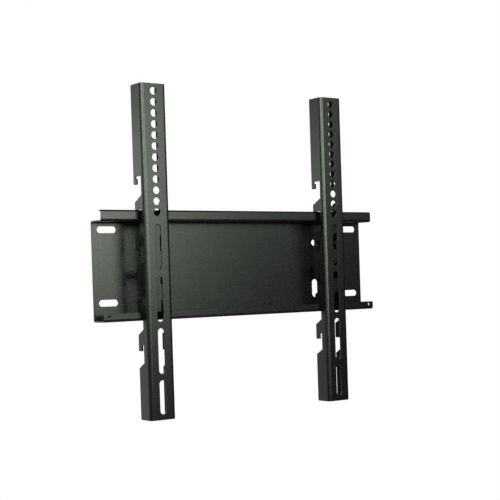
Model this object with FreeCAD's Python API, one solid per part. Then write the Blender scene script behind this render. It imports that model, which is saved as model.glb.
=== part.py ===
import FreeCAD, Part
import math
import os

from FreeCAD import Vector

# Fixed wall mount for a flat screen, in millimetres: a folded wall plate with a rail along its top and
# bottom edges, and two folded arms whose hooks hang on the rails and slide along them.
# X runs to the right, Y into the wall and Z up. The wall is the plane y = 0, and the origin is the
# centre of the four wall slots.

# Steel sheet of all three pieces
SHEET = 2.0
PLATE_BEND_INSIDE = 1.5
RETURN_BEND_INSIDE = 0.6
ARM_BEND_INSIDE = 3.0

# Wall plate
PLATE_WIDTH = 458.0
PLATE_HEIGHT = 145.0
RAIL_REACH = 27.0
TOP_RAIL_HEIGHT = 15.0
TOP_RAIL_RETURN = 6.0
BOTTOM_RAIL_HEIGHT = 11.2
RAIL_CORNER = 1.0
RETURN_CORNER = 1.0

# Holes of the wall plate
WALL_SLOT_LENGTH = 28.5
WALL_SLOT_WIDTH = 8.8
WALL_SLOT_END_MARGIN = 8.0
WALL_SLOT_INSET = 24.5
SIDE_HOLE_SPACING = 280.0
SIDE_HOLE_DIAMETER = 8.5
SIDE_HOLE_INSET = 44.0
SIDE_SLOT_LENGTH = 26.5
SIDE_SLOT_WIDTH = 10.5
SIDE_SLOT_INSET = 34.0
TIE_HOLE_DIAMETER = 3.5
TIE_HOLE_END_MARGIN = 8.0
TIE_HOLE_DROP = 4.0

# Arms, which hang a little to the left of the plate's centre
ARM_LENGTH = 440.0
ARM_WIDTH = 38.5
ARM_SPACING = 300.0
ARM_SHIFT = -3.5
ARM_CORNER = 2.0

# Screen holes of each arm, from its top end down
HOLE_DIAMETER = 10.0
HOLE_PITCH = 14.4
HOLE_COUNT = 12
FIRST_HOLE = 10.0
HOLE_TO_SLOT = 10.6
SLOT_WIDTH = 9.5
SLOT_LENGTH = 59.5
SLOT_WEB = 8.5
SLOT_END_MARGIN = 7.5

# Hooks of each arm: the upper ones take the top rail and the lower ones the bottom rail
HOOKS_PER_RAIL = 3
HANGING_HOOK = 2
HOOK_GROUP_DROP = 11.1
HOOK_GROUP_GAP = 2.7
HOOK_SETBACK = 14.2
HOOK_THROAT = 7.5
HOOK_NECK = 5.4
HOOK_BACK_INSET = 1.5
UPPER_STEM = 10.0
UPPER_CHAMFER = 9.0
LOWER_STEM = 13.2
LOWER_CHAMFER = 7.3
LOWER_SLOT_PLAY = 0.9

# Clearances between the hooks and the rails
HANG_CLEARANCE = 0.15
LOWER_HANG_CLEARANCE = 0.45
RETURN_CLEARANCE = 0.4
RETURN_UNDER_CLEARANCE = 1.0
TOE_CLEARANCE = 1.2
TAB_CLEARANCE = 1.3
TOE_FLOOR_CLEARANCE = 2.5
TAB_FLOOR_CLEARANCE = 1.6

# Rounded corners of the upper hooks; the lower ones are punched square
THROAT_CORNER = 1.5
TOE_CORNER = 2.0
TOE_TOP_CORNER = 1.0

# How far a cutting shape stands past the sheet, and how near two points count as one
OVERCUT = 5.0
TOLERANCE = 1e-6

# Levels and depths that the pieces share
PLATE_BEND_OUTSIDE = PLATE_BEND_INSIDE + SHEET
RETURN_BEND_OUTSIDE = RETURN_BEND_INSIDE + SHEET
ARM_BEND_OUTSIDE = ARM_BEND_INSIDE + SHEET
PLATE_TOP = PLATE_HEIGHT / 2
PLATE_BOTTOM = -PLATE_HEIGHT / 2
BOTTOM_RAIL_TOP = PLATE_BOTTOM + BOTTOM_RAIL_HEIGHT
PANEL_FRONT = -SHEET
RAIL_FRONT = PANEL_FRONT - RAIL_REACH
RETURN_END = RAIL_FRONT + TOP_RAIL_RETURN
ARM_FRONT = RAIL_FRONT - HOOK_SETBACK
ARM_DEPTH = HOOK_SETBACK + TOP_RAIL_RETURN + RETURN_CLEARANCE + HOOK_NECK

# Drops of the hook slots' tops below the arm's top end, and where that end comes to hang
RAIL_STEP = PLATE_TOP + HANG_CLEARANCE - BOTTOM_RAIL_TOP - LOWER_HANG_CLEARANCE
HOOK_PITCH = (RAIL_STEP - HOOK_GROUP_GAP) / HOOKS_PER_RAIL
HOOK_SPAN = RAIL_STEP + (HOOKS_PER_RAIL - 1) * HOOK_PITCH
FIRST_HOOK = ARM_LENGTH / 2 + HOOK_GROUP_DROP - HOOK_SPAN / 2
UPPER_HOOKS = [FIRST_HOOK + HOOK_PITCH * i for i in range(HOOKS_PER_RAIL)]
LOWER_HOOKS = [drop + RAIL_STEP for drop in UPPER_HOOKS]
ARM_TOP = PLATE_TOP + HANG_CLEARANCE + UPPER_HOOKS[HANGING_HOOK - 1]


def rounded_outline(corners, place):
    """Closed wire through corners (a, b, radius) with tangent arcs, where place(a, b) sets a point in space."""
    points = [Vector(a, b, 0) for a, b, radius in corners]
    spans = []
    for i, point in enumerate(points):
        radius = corners[i][2]
        if radius == 0:
            spans.append((point, None, point))
            continue
        back = (points[i - 1] - point).normalize()
        ahead = (points[(i + 1) % len(points)] - point).normalize()
        inward = (back + ahead).normalize()
        half_angle = back.getAngle(inward)
        leg = radius / math.tan(half_angle)
        sagitta = radius / math.sin(half_angle) - radius
        spans.append((point + back * leg, point + inward * sagitta, point + ahead * leg))
    edges = []
    for i, (start, middle, end) in enumerate(spans):
        if middle is not None:
            arc_points = [place(p.x, p.y) for p in (start, middle, end)]
            edges.append(Part.Arc(*arc_points).toShape())
        following = spans[(i + 1) % len(spans)][0]
        if (following - end).Length > TOLERANCE:
            edges.append(Part.LineSegment(place(end.x, end.y), place(following.x, following.y)).toShape())
    return Part.Wire(edges)


def prism_along_x(corners, x_start, x_end):
    """Solid with a section of corners (y, z, radius)."""
    wire = rounded_outline(corners, lambda y, z: Vector(x_start, y, z))
    return Part.Face(wire).extrude(Vector(x_end - x_start, 0, 0))


def prism_along_z(corners, z_start, z_end):
    """Solid with a section of corners (x, y, radius)."""
    wire = rounded_outline(corners, lambda x, y: Vector(x, y, z_start))
    return Part.Face(wire).extrude(Vector(0, 0, z_end - z_start))


def hole_cutter(x, z, diameter, sheet_front):
    """Cylinder through a sheet that faces the viewer."""
    start = Vector(x, sheet_front - OVERCUT, z)
    return Part.makeCylinder(diameter / 2, SHEET + 2 * OVERCUT, start, Vector(0, 1, 0))


def slot_cutter(x, z, run, width, sheet_front):
    """Round-ended prism through a sheet that faces the viewer, where run joins the two end centres."""
    centre = Vector(x, sheet_front - OVERCUT, z)
    tip = Vector(run).normalize() * (width / 2)
    side = tip.cross(Vector(0, 1, 0))
    first = centre - run * 0.5
    second = centre + run * 0.5
    edges = [
        Part.LineSegment(first + side, second + side),
        Part.Arc(second + side, second + tip, second - side),
        Part.LineSegment(second - side, first - side),
        Part.Arc(first - side, first - tip, first + side),
    ]
    wire = Part.Wire([edge.toShape() for edge in edges])
    return Part.Face(wire).extrude(Vector(0, SHEET + 2 * OVERCUT, 0))


def straight_edges(shape, direction, belongs):
    """Edges along a direction whose middle point belongs."""
    found = []
    for edge in shape.Edges:
        run = edge.Vertexes[-1].Point - edge.Vertexes[0].Point
        if run.Length > TOLERANCE and run.cross(direction).Length < TOLERANCE and belongs(edge.CenterOfMass):
            found.append(edge)
    return found


def near(value, target):
    return abs(value - target) < TOLERANCE


def wall_plate():
    """Panel with a forward shelf at each edge; the top rail's upstand ends in a return towards the wall."""
    rail_back = RAIL_FRONT + SHEET
    shelf_under = PLATE_TOP - TOP_RAIL_HEIGHT
    shelf_top = shelf_under + SHEET
    floor_top = PLATE_BOTTOM + SHEET
    section = [
        (RETURN_END, PLATE_TOP, 0),
        (RAIL_FRONT, PLATE_TOP, RETURN_BEND_OUTSIDE),
        (RAIL_FRONT, shelf_under, PLATE_BEND_OUTSIDE),
        (PANEL_FRONT, shelf_under, PLATE_BEND_INSIDE),
        (PANEL_FRONT, floor_top, PLATE_BEND_INSIDE),
        (rail_back, floor_top, PLATE_BEND_INSIDE),
        (rail_back, BOTTOM_RAIL_TOP, 0),
        (RAIL_FRONT, BOTTOM_RAIL_TOP, 0),
        (RAIL_FRONT, PLATE_BOTTOM, PLATE_BEND_OUTSIDE),
        (0, PLATE_BOTTOM, PLATE_BEND_OUTSIDE),
        (0, shelf_top, PLATE_BEND_OUTSIDE),
        (rail_back, shelf_top, PLATE_BEND_INSIDE),
        (rail_back, PLATE_TOP - SHEET, RETURN_BEND_INSIDE),
        (RETURN_END, PLATE_TOP - SHEET, 0),
    ]
    plate = prism_along_x(section, -PLATE_WIDTH / 2, PLATE_WIDTH / 2)
    rail_ends = straight_edges(plate, Vector(0, 1, 0), lambda p: near(p.z, BOTTOM_RAIL_TOP))
    plate = plate.makeFillet(RAIL_CORNER, rail_ends)
    return_ends = straight_edges(plate, Vector(0, 0, 1), lambda p: near(p.y, RETURN_END))
    plate = plate.makeFillet(RETURN_CORNER, return_ends)
    return plate.cut(wall_plate_cutters()).removeSplitter()


def wall_plate_cutters():
    """Wall slots at the four corners, a hole and an upright slot at each side, and the tie holes of the rail."""
    slot_x = PLATE_WIDTH / 2 - WALL_SLOT_END_MARGIN - WALL_SLOT_LENGTH / 2
    slot_run = Vector(WALL_SLOT_LENGTH - WALL_SLOT_WIDTH, 0, 0)
    side_run = Vector(0, 0, SIDE_SLOT_LENGTH - SIDE_SLOT_WIDTH)
    tie_x = PLATE_WIDTH / 2 - TIE_HOLE_END_MARGIN
    cutters = []
    for side in (-1, 1):
        for level in (PLATE_TOP - WALL_SLOT_INSET, PLATE_BOTTOM + WALL_SLOT_INSET):
            cutters.append(slot_cutter(side * slot_x, level, slot_run, WALL_SLOT_WIDTH, PANEL_FRONT))
        side_x = side * SIDE_HOLE_SPACING / 2
        cutters.append(hole_cutter(side_x, PLATE_TOP - SIDE_HOLE_INSET, SIDE_HOLE_DIAMETER, PANEL_FRONT))
        cutters.append(slot_cutter(side_x, PLATE_BOTTOM + SIDE_SLOT_INSET, side_run, SIDE_SLOT_WIDTH, PANEL_FRONT))
        cutters.append(hole_cutter(side * tie_x, BOTTOM_RAIL_TOP - TIE_HOLE_DROP, TIE_HOLE_DIAMETER, RAIL_FRONT))
    return cutters


def arm(centre_x):
    """Channel with its back open to the wall, holes along its face and hooks along both its flanges."""
    left = centre_x - ARM_WIDTH / 2
    right = centre_x + ARM_WIDTH / 2
    back = ARM_FRONT + ARM_DEPTH
    bottom = ARM_TOP - ARM_LENGTH
    section = [
        (left, back, 0),
        (left, ARM_FRONT, ARM_BEND_OUTSIDE),
        (right, ARM_FRONT, ARM_BEND_OUTSIDE),
        (right, back, 0),
        (right - SHEET, back, 0),
        (right - SHEET, ARM_FRONT + SHEET, ARM_BEND_INSIDE),
        (left + SHEET, ARM_FRONT + SHEET, ARM_BEND_INSIDE),
        (left + SHEET, back, 0),
    ]
    channel = prism_along_z(section, bottom, ARM_TOP)
    flange_ends = straight_edges(channel, Vector(1, 0, 0), lambda p: near(p.y, back))
    channel = channel.makeFillet(ARM_CORNER, flange_ends)
    hook_outlines = [upper_hook_outline(i) for i in range(HOOKS_PER_RAIL)]
    hook_outlines += [lower_hook_outline(drop) for drop in LOWER_HOOKS]
    cutters = screen_hole_cutters(centre_x)
    for outline in hook_outlines:
        corners = [(ARM_FRONT + depth, ARM_TOP - drop, radius) for depth, drop, radius in outline]
        cutters.append(prism_along_x(corners, left - OVERCUT, right + OVERCUT))
    return channel.cut(cutters).removeSplitter()


def screen_hole_cutters(centre_x):
    """A row of round holes, then upright slots down to the arm's lower end, the last one cut short by it."""
    cutters = []
    for i in range(HOLE_COUNT):
        level = ARM_TOP - FIRST_HOLE - HOLE_PITCH * i
        cutters.append(hole_cutter(centre_x, level, HOLE_DIAMETER, ARM_FRONT))
    last_drop = ARM_LENGTH - SLOT_END_MARGIN
    start = FIRST_HOLE + HOLE_PITCH * (HOLE_COUNT - 1) + HOLE_DIAMETER / 2 + HOLE_TO_SLOT
    while start + 2 * SLOT_WIDTH < last_drop:
        end = min(start + SLOT_LENGTH, last_drop)
        run = Vector(0, 0, end - start - SLOT_WIDTH)
        cutters.append(slot_cutter(centre_x, ARM_TOP - (start + end) / 2, run, SLOT_WIDTH, ARM_FRONT))
        start = end + SLOT_WEB
    return cutters


def toe_drop(top):
    """Drop of an upper hook's lower end, just above the top rail's shelf."""
    return top + HANG_CLEARANCE + TOP_RAIL_HEIGHT - SHEET - TOE_FLOOR_CLEARANCE


def upper_hook_outline(index):
    """What is punched out under an upper hook, as corners (depth from the arm's face, drop from its top, radius).

    The slot reaches back over the hook's toe, to take the return of the top rail.
    """
    top = UPPER_HOOKS[index]
    is_last = index == HOOKS_PER_RAIL - 1
    own_back = ARM_DEPTH if index == 0 else ARM_DEPTH - HOOK_BACK_INSET
    slot_back = HOOK_SETBACK + TOP_RAIL_RETURN + RETURN_CLEARANCE
    toe_front = HOOK_SETBACK + SHEET + TOE_CLEARANCE
    toe_top = top + HANG_CLEARANCE + SHEET + RETURN_UNDER_CLEARANCE
    toe_end = toe_drop(top)
    outside = ARM_DEPTH + OVERCUT
    if is_last:
        chamfer_end = LOWER_HOOKS[0] - LOWER_STEM
        below = [
            (ARM_DEPTH, chamfer_end, 0),
            (outside, chamfer_end, 0),
        ]
    else:
        next_top = UPPER_HOOKS[index + 1]
        next_back = ARM_DEPTH - HOOK_BACK_INSET
        strip_end = toe_drop(next_top) - TOE_CORNER / 2
        chamfer_end = next_top - UPPER_STEM
        below = [
            (next_back, chamfer_end, 0),
            (next_back, strip_end, 0),
            (outside, strip_end, 0),
        ]
    return [
        (slot_back, top, 0),
        (HOOK_THROAT, top, THROAT_CORNER),
        (HOOK_THROAT, chamfer_end - UPPER_CHAMFER, 0),
        *below,
        (outside, toe_end - TOE_CORNER, 0),
        (own_back, toe_end - TOE_CORNER, 0),
        (own_back, toe_end, TOE_CORNER),
        (toe_front, toe_end, TOE_CORNER),
        (toe_front, toe_top, TOE_TOP_CORNER),
        (slot_back, toe_top, 0),
    ]


def lower_hook_outline(top):
    """What is punched out under a lower hook, with a narrow slot for the plain edge of the bottom rail."""
    slot_front = HOOK_SETBACK - LOWER_SLOT_PLAY
    slot_back = HOOK_SETBACK + SHEET + TAB_CLEARANCE
    tab_end = top + LOWER_HANG_CLEARANCE + BOTTOM_RAIL_HEIGHT - SHEET - TAB_FLOOR_CLEARANCE
    chamfer_end = top + HOOK_PITCH - LOWER_STEM
    outside = ARM_DEPTH + OVERCUT
    return [
        (slot_back, top, 0),
        (slot_front, top, 0),
        (slot_front, chamfer_end - LOWER_CHAMFER, 0),
        (ARM_DEPTH, chamfer_end, 0),
        (outside, chamfer_end, 0),
        (outside, tab_end, 0),
        (slot_back, tab_end, 0),
    ]


os.makedirs("parts", exist_ok=True)
wall_plate().exportStep("parts/wall_plate.step")
arm(ARM_SHIFT - ARM_SPACING / 2).exportStep("parts/left_arm.step")
arm(ARM_SHIFT + ARM_SPACING / 2).exportStep("parts/right_arm.step")
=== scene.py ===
import math

import bpy
from mathutils import Euler, Matrix, Vector


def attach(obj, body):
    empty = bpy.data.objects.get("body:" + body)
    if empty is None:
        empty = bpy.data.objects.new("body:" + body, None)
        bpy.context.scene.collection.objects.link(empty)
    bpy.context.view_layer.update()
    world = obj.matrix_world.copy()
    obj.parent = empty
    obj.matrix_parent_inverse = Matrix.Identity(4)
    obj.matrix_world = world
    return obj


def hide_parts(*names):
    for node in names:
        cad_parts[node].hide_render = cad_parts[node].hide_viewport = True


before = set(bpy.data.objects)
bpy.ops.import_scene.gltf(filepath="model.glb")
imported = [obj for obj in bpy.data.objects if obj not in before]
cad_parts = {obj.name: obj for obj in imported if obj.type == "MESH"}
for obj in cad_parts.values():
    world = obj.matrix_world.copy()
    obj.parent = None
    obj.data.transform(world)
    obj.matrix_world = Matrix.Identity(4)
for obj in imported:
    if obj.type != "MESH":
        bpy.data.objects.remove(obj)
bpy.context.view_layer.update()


# Wall plate: one folded sheet of 2 mm steel, cut and punched flat, then bent into a panel with a rail along
# its top and bottom edges. It is coated after bending, so every cut edge is rounded off by the coat.

COAT_EDGE_ROUNDING = 0.00035
ROUNDING_STEPS = 2
MERGE_DISTANCE = 0.00001
FLAT_ANGLE = math.radians(0.5)
CUT_EDGE_ANGLE = math.radians(40)
SMOOTH_ANGLE = math.radians(60)


def deselect_everything():
    for thing in bpy.context.selected_objects:
        thing.select_set(False)


def coated_copy(node_name, piece_name):
    """A copy of a folded sheet whose flat faces are whole and whose cut edges are rounded by the coat."""
    deselect_everything()
    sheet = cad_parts[node_name]
    sheet.select_set(True)
    bpy.context.view_layer.objects.active = sheet
    bpy.ops.object.duplicate()
    piece = bpy.context.view_layer.objects.active
    piece.name = piece_name
    piece.data.name = piece_name
    piece.data.materials.clear()
    bpy.ops.object.mode_set(mode="EDIT")
    bpy.ops.mesh.select_all(action="SELECT")
    bpy.ops.mesh.customdata_custom_splitnormals_clear()
    bpy.ops.mesh.remove_doubles(threshold=MERGE_DISTANCE)
    bpy.ops.mesh.dissolve_limited(angle_limit=FLAT_ANGLE)
    bpy.ops.object.mode_set(mode="OBJECT")
    rounding = piece.modifiers.new("rounded cut edges", "BEVEL")
    rounding.width = COAT_EDGE_ROUNDING
    rounding.segments = ROUNDING_STEPS
    rounding.limit_method = "ANGLE"
    rounding.angle_limit = CUT_EDGE_ANGLE
    rounding.use_clamp_overlap = False
    bpy.ops.object.modifier_apply(modifier=rounding.name)
    bpy.ops.object.shade_smooth_by_angle(angle=SMOOTH_ANGLE)
    even = piece.modifiers.new("flat faces stay flat", "WEIGHTED_NORMAL")
    even.keep_sharp = True
    bpy.ops.object.modifier_apply(modifier=even.name)
    return piece


COAT_COLOUR = (0.0031, 0.0033, 0.0030, 1)
COAT_DARK_COLOUR = (0.0021, 0.0023, 0.0021, 1)
RIPPLE_SIZE = 0.0026
RIPPLE_DETAIL = 2
RIPPLE_RANGE = (0.3, 0.7)
FINE_GRAIN_SIZE = 0.0008
FINE_GRAIN_DETAIL = 1
FINE_GRAIN_SHARE = 0.35
GRAIN_HEIGHT = 0.00004
COAT_ROUGHNESS = (0.26, 0.315)
COAT_SPECULAR = 0.8
COAT_REFLECTION_TINT = (0.92, 1.0, 0.85, 1)


def new_surface(name):
    """A material, with its node tree and the shader that it starts with."""
    material = bpy.data.materials.new(name)
    material.use_nodes = True
    tree = material.node_tree
    return material, tree, tree.nodes["Principled BSDF"]


def grain_pattern(tree, size, detail):
    """Noise whose grains have one size and stay fixed to the piece."""
    place = tree.nodes.new("ShaderNodeTexCoord")
    noise = tree.nodes.new("ShaderNodeTexNoise")
    noise.inputs["Scale"].default_value = 1 / size
    noise.inputs["Detail"].default_value = detail
    tree.links.new(place.outputs["Object"], noise.inputs["Vector"])
    return noise.outputs["Fac"]


def tint_by_grain(tree, shader, grain, dark, light):
    """Let the colour go between two tones with the grain."""
    tones = tree.nodes.new("ShaderNodeMix")
    tones.data_type = "RGBA"
    tones.inputs["A"].default_value = dark
    tones.inputs["B"].default_value = light
    tree.links.new(grain, tones.inputs["Factor"])
    tree.links.new(tones.outputs["Result"], shader.inputs["Base Color"])


def raise_by_grain(tree, shader, grain):
    """Let the surface rise and fall with the grain."""
    bump = tree.nodes.new("ShaderNodeBump")
    bump.inputs["Distance"].default_value = GRAIN_HEIGHT
    tree.links.new(grain, bump.inputs["Height"])
    tree.links.new(bump.outputs["Normal"], shader.inputs["Normal"])


def black_powder_coat():
    """Satin black powder coat, a little green, with the fine ripple that melted powder leaves."""
    coat, tree, shader = new_surface("satin_black_powder_coat")
    shader.inputs["Specular IOR Level"].default_value = COAT_SPECULAR
    shader.inputs["Specular Tint"].default_value = COAT_REFLECTION_TINT
    ripple = grain_pattern(tree, RIPPLE_SIZE, RIPPLE_DETAIL)
    fine_grain = grain_pattern(tree, FINE_GRAIN_SIZE, FINE_GRAIN_DETAIL)
    tint_by_grain(tree, shader, ripple, COAT_DARK_COLOUR, COAT_COLOUR)

    both = tree.nodes.new("ShaderNodeMix")
    both.inputs["Factor"].default_value = FINE_GRAIN_SHARE
    tree.links.new(ripple, both.inputs["A"])
    tree.links.new(fine_grain, both.inputs["B"])
    raise_by_grain(tree, shader, both.outputs["Result"])

    gloss = tree.nodes.new("ShaderNodeMapRange")
    gloss.inputs["From Min"].default_value = RIPPLE_RANGE[0]
    gloss.inputs["From Max"].default_value = RIPPLE_RANGE[1]
    gloss.inputs["To Min"].default_value = COAT_ROUGHNESS[0]
    gloss.inputs["To Max"].default_value = COAT_ROUGHNESS[1]
    tree.links.new(ripple, gloss.inputs["Value"])
    tree.links.new(gloss.outputs["Result"], shader.inputs["Roughness"])
    return coat


powder_coat = black_powder_coat()
wall_plate = coated_copy("wall_plate", "coated_wall_plate")
wall_plate.data.materials.append(powder_coat)
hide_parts("wall_plate")
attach(wall_plate, "wall_plate")


# Arms: two like channels of the same sheet, with screw holes along the face and hooks punched in both
# flanges. They hang on the rails by their hooks, and each slides along them. Inside a channel the coat is
# dull and hardly reflects, as painted shade for the shade that falls between the flanges.

SHEET_THICKNESS = 0.002
INSIDE_TOLERANCE = 0.0001
# Tones, roughness and low reflection of the dull inside coat, which is painted shade inside a channel.
CHANNEL_SHADE_COLOUR = (0.0080, 0.0084, 0.0080, 1)
CHANNEL_SHADE_DARK_COLOUR = (0.0050, 0.0052, 0.0050, 1)
CHANNEL_SHADE_ROUGHNESS = 0.7
CHANNEL_SHADE_SPECULAR = 0.12
SPECK_DETAIL = 2


def shaded_channel_coat():
    """Dull black coat that hardly reflects, with a speck grain: painted shade for the inside of a channel."""
    coat, tree, shader = new_surface("shaded_channel_coat")
    shader.inputs["Roughness"].default_value = CHANNEL_SHADE_ROUGHNESS
    shader.inputs["Specular IOR Level"].default_value = CHANNEL_SHADE_SPECULAR
    specks = grain_pattern(tree, FINE_GRAIN_SIZE, SPECK_DETAIL)
    tint_by_grain(tree, shader, specks, CHANNEL_SHADE_DARK_COLOUR, CHANNEL_SHADE_COLOUR)
    raise_by_grain(tree, shader, specks)
    return coat


def coat_inside_as_shade(arm, coat):
    """Give the faces between the flanges, behind the arm's face, the dull coat of painted shade."""
    across = [corner.co.x for corner in arm.data.vertices]
    inside_left = min(across) + SHEET_THICKNESS - INSIDE_TOLERANCE
    inside_right = max(across) - SHEET_THICKNESS + INSIDE_TOLERANCE
    inside_front = min(corner.co.y for corner in arm.data.vertices) + SHEET_THICKNESS - INSIDE_TOLERANCE
    arm.data.materials.append(coat)
    for face in arm.data.polygons:
        between_flanges = inside_left < face.center.x < inside_right
        face.material_index = 1 if between_flanges and face.center.y > inside_front else 0


channel_shade_coat = shaded_channel_coat()
for side in ("left_arm", "right_arm"):
    arm = coated_copy(side, "coated_" + side)
    arm.data.materials.append(powder_coat)
    coat_inside_as_shade(arm, channel_shade_coat)
    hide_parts(side)
    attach(arm, side)


# Floor: a plain pale sheet that lies well below the mount, as the floor does under a wall. The camera sees
# it white, less the shadow.

FLOOR_LEVEL = -1.5
FLOOR_SIDE = 3.0
FLOOR_COLOUR = (0.8, 0.8, 0.8, 1)
FLOOR_ROUGHNESS = 0.9
FLOOR_OWN_LIGHT = (0.88, 0.88, 0.88, 1)


def joined(tree, operation, first, second):
    """One value worked out from two others of a node tree."""
    node = tree.nodes.new("ShaderNodeMath")
    node.operation = operation
    tree.links.new(first, node.inputs[0])
    tree.links.new(second, node.inputs[1])
    return node.outputs["Value"]


deselect_everything()
bpy.ops.mesh.primitive_plane_add(size=FLOOR_SIDE, location=(0, 0, FLOOR_LEVEL))
floor = bpy.context.view_layer.objects.active
floor.name = "floor"
pale, floor_tree, floor_shader = new_surface("pale_floor")
floor_shader.inputs["Base Color"].default_value = FLOOR_COLOUR
floor_shader.inputs["Roughness"].default_value = FLOOR_ROUGHNESS
floor_shader.inputs["Emission Color"].default_value = FLOOR_OWN_LIGHT
floor_rays = floor_tree.nodes.new("ShaderNodeLightPath").outputs
floor_seen = joined(floor_tree, "MAXIMUM", floor_rays["Is Camera Ray"], floor_rays["Is Transmission Ray"])
floor_tree.links.new(floor_seen, floor_shader.inputs["Emission Strength"])
floor.data.materials.append(pale)


# Studio: white all round for the camera. In reflections the backdrop is white behind the mount and fades to
# its sides, and the room in front is dim.

ROOM_GREY = (0.03, 0.031, 0.03, 1)
BACKDROP_WHITE = (1, 1, 1, 1)
BACKDROP_END = 0.52
BACKDROP_FULL = 1.1

world = bpy.data.worlds.new("studio")
bpy.context.scene.world = world
world.use_nodes = True
sky = world.node_tree
sky.nodes.clear()
dim_room = sky.nodes.new("ShaderNodeBackground")
dim_room.inputs["Color"].default_value = ROOM_GREY
white_backdrop = sky.nodes.new("ShaderNodeBackground")
white_backdrop.inputs["Color"].default_value = BACKDROP_WHITE
direction = sky.nodes.new("ShaderNodeTexCoord")
direction_parts = sky.nodes.new("ShaderNodeSeparateXYZ")
sky.links.new(direction.outputs["Generated"], direction_parts.inputs["Vector"])
behind = sky.nodes.new("ShaderNodeMapRange")
behind.interpolation_type = "SMOOTHSTEP"
behind.inputs["From Min"].default_value = BACKDROP_END
behind.inputs["From Max"].default_value = BACKDROP_FULL
sky.links.new(direction_parts.outputs["Y"], behind.inputs["Value"])
sky_rays = sky.nodes.new("ShaderNodeLightPath").outputs
sky_seen = joined(sky, "MAXIMUM", sky_rays["Is Camera Ray"], sky_rays["Is Transmission Ray"])
sky_reflected = joined(sky, "MULTIPLY", sky_rays["Is Glossy Ray"], behind.outputs["Result"])
either = sky.nodes.new("ShaderNodeMixShader")
sky.links.new(joined(sky, "MAXIMUM", sky_seen, sky_reflected), either.inputs["Fac"])
sky.links.new(dim_room.outputs["Background"], either.inputs[1])
sky.links.new(white_backdrop.outputs["Background"], either.inputs[2])
sky_end = sky.nodes.new("ShaderNodeOutputWorld")
sky.links.new(either.outputs["Shader"], sky_end.inputs["Surface"])


# Lamps: three softboxes side by side in front and one to the left, with weaker ones at the sides and behind.
# The wide and low one behind on the left shines along the arms' flanges.

LAMP_TINT = (0.96, 1.0, 1.0)
LAMP_DISTANCE = 1.7
BACK_FILL_DISTANCE = 2.0


def softbox(name, bearing, rise, width, height, brightness, distance=LAMP_DISTANCE):
    """Soft lamp that faces the mount, so many degrees to the right of the front and so many up."""
    lamp = bpy.data.lights.new(name, "AREA")
    lamp.shape = "RECTANGLE"
    lamp.size = width
    lamp.size_y = height
    lamp.energy = math.pi * width * height * brightness
    lamp.color = LAMP_TINT
    lamp_object = bpy.data.objects.new(name, lamp)
    bpy.context.scene.collection.objects.link(lamp_object)
    turn = Euler((math.radians(90 - rise), 0, math.radians(bearing))).to_matrix()
    lamp_object.location = turn @ Vector((0, 0, distance))
    lamp_object.rotation_euler = turn.to_euler()
    lamp_object.visible_camera = False


softbox("front_softbox", bearing=9.5, rise=9, width=0.45, height=0.6, brightness=8.6)
softbox("front_right_softbox", bearing=23.5, rise=8.75, width=0.39, height=0.61, brightness=2.65)
softbox("front_left_softbox", bearing=-10, rise=9, width=0.72, height=0.66, brightness=3.2)
softbox("left_softbox", bearing=-45, rise=17.5, width=1.3, height=0.63, brightness=6.0)
softbox("right_fill", bearing=38.5, rise=17.5, width=0.51, height=0.75, brightness=0.8)
softbox("left_fill", bearing=-102, rise=10, width=1.0, height=1.2, brightness=0.5)
softbox("back_left_softbox", bearing=-145, rise=8.6, width=1.44, height=0.27, brightness=1.05)
softbox("back_fill", bearing=180, rise=35, width=1.5, height=1.0, brightness=0.8, distance=BACK_FILL_DISTANCE)


# Camera: near the height of the mount's middle and well to its left, turned a little about its own axis.
# Its lens is shifted instead of tilted, so upright edges stay nearly parallel.

PHOTO_SIDE = 500
SENSOR_WIDTH = 36.0
FOCAL_LENGTH_PIXELS = 1193.0
VIEW_SHIFT_PIXELS = 40.0
CAMERA_PLACE = (-0.9706, -1.3744, -0.0243)
CAMERA_YAW = 0.6259
CAMERA_PITCH = -0.0080
CAMERA_ROLL = 0.0322

lens = bpy.data.cameras.new("camera")
lens.sensor_width = SENSOR_WIDTH
lens.lens = FOCAL_LENGTH_PIXELS / PHOTO_SIDE * SENSOR_WIDTH
lens.shift_y = VIEW_SHIFT_PIXELS / PHOTO_SIDE
camera = bpy.data.objects.new("camera", lens)
bpy.context.scene.collection.objects.link(camera)
aim = Euler((math.pi / 2 + CAMERA_PITCH, 0, -CAMERA_YAW)).to_matrix()
aim = aim @ Matrix.Rotation(-CAMERA_ROLL, 3, "Z")
camera.location = CAMERA_PLACE
camera.rotation_euler = aim.to_euler()
bpy.context.scene.camera = camera
bpy.context.scene.view_settings.view_transform = "Standard"
